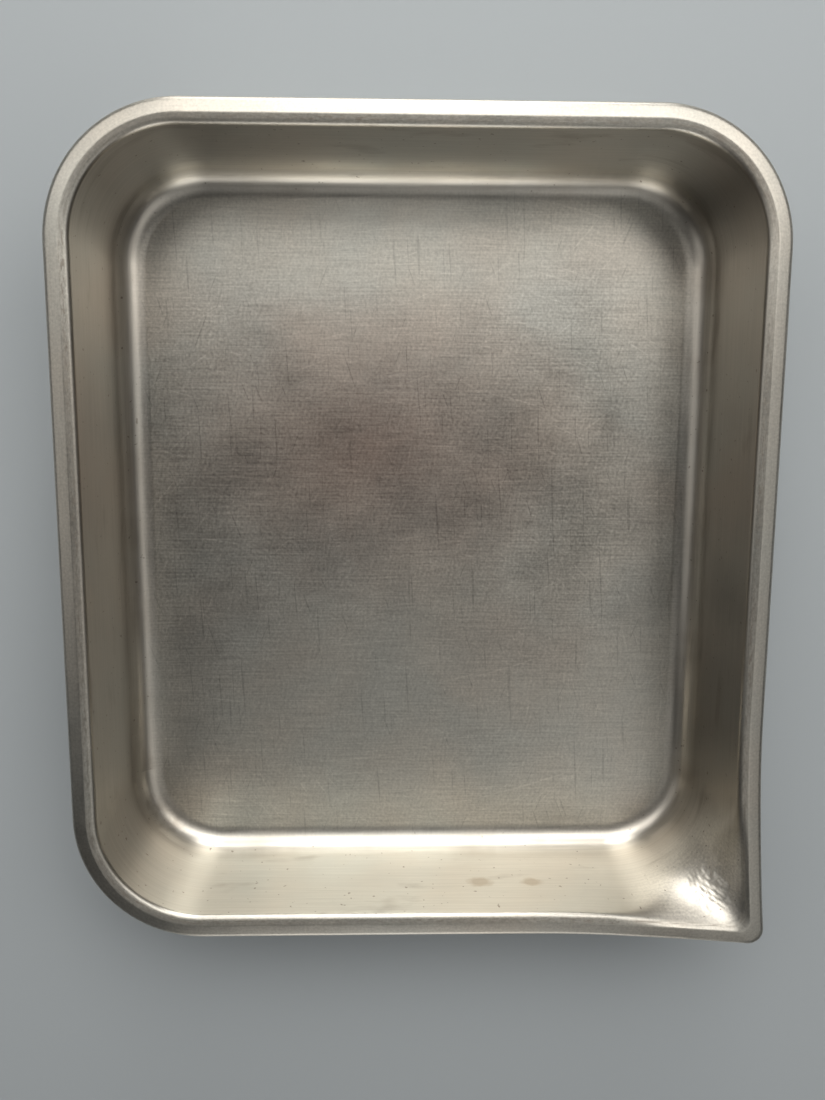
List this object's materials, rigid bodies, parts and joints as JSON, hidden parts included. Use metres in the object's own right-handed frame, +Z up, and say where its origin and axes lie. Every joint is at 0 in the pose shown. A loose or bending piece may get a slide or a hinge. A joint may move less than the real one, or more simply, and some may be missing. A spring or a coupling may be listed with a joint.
{
  "type": "bedpan",
  "caption": "Rectangular pressed stainless-steel bedpan with tapered walls, a flat base, a flanged rim with a rolled edge, and a squared pouring lip at one corner.",
  "frame": {"origin": "centre of the flat base, on its underside", "axes": "+X across the short way, towards the side with the pouring lip; +Y along the length, away from the end with the pouring lip; +Z up, out of the open top"},
  "size_m": [0.3267, 0.3817, 0.065],
  "materials": {
    "pan_steel": "satin stainless steel, worn, with fine cross scratches on the floor and a coarser ground flange",
    "wire_steel": "plain drawn wire"
  },
  "bodies": {
    "root": {"pan_shell": "pan_steel", "rim_wire": "wire_steel"}
  },
  "joints": []
}
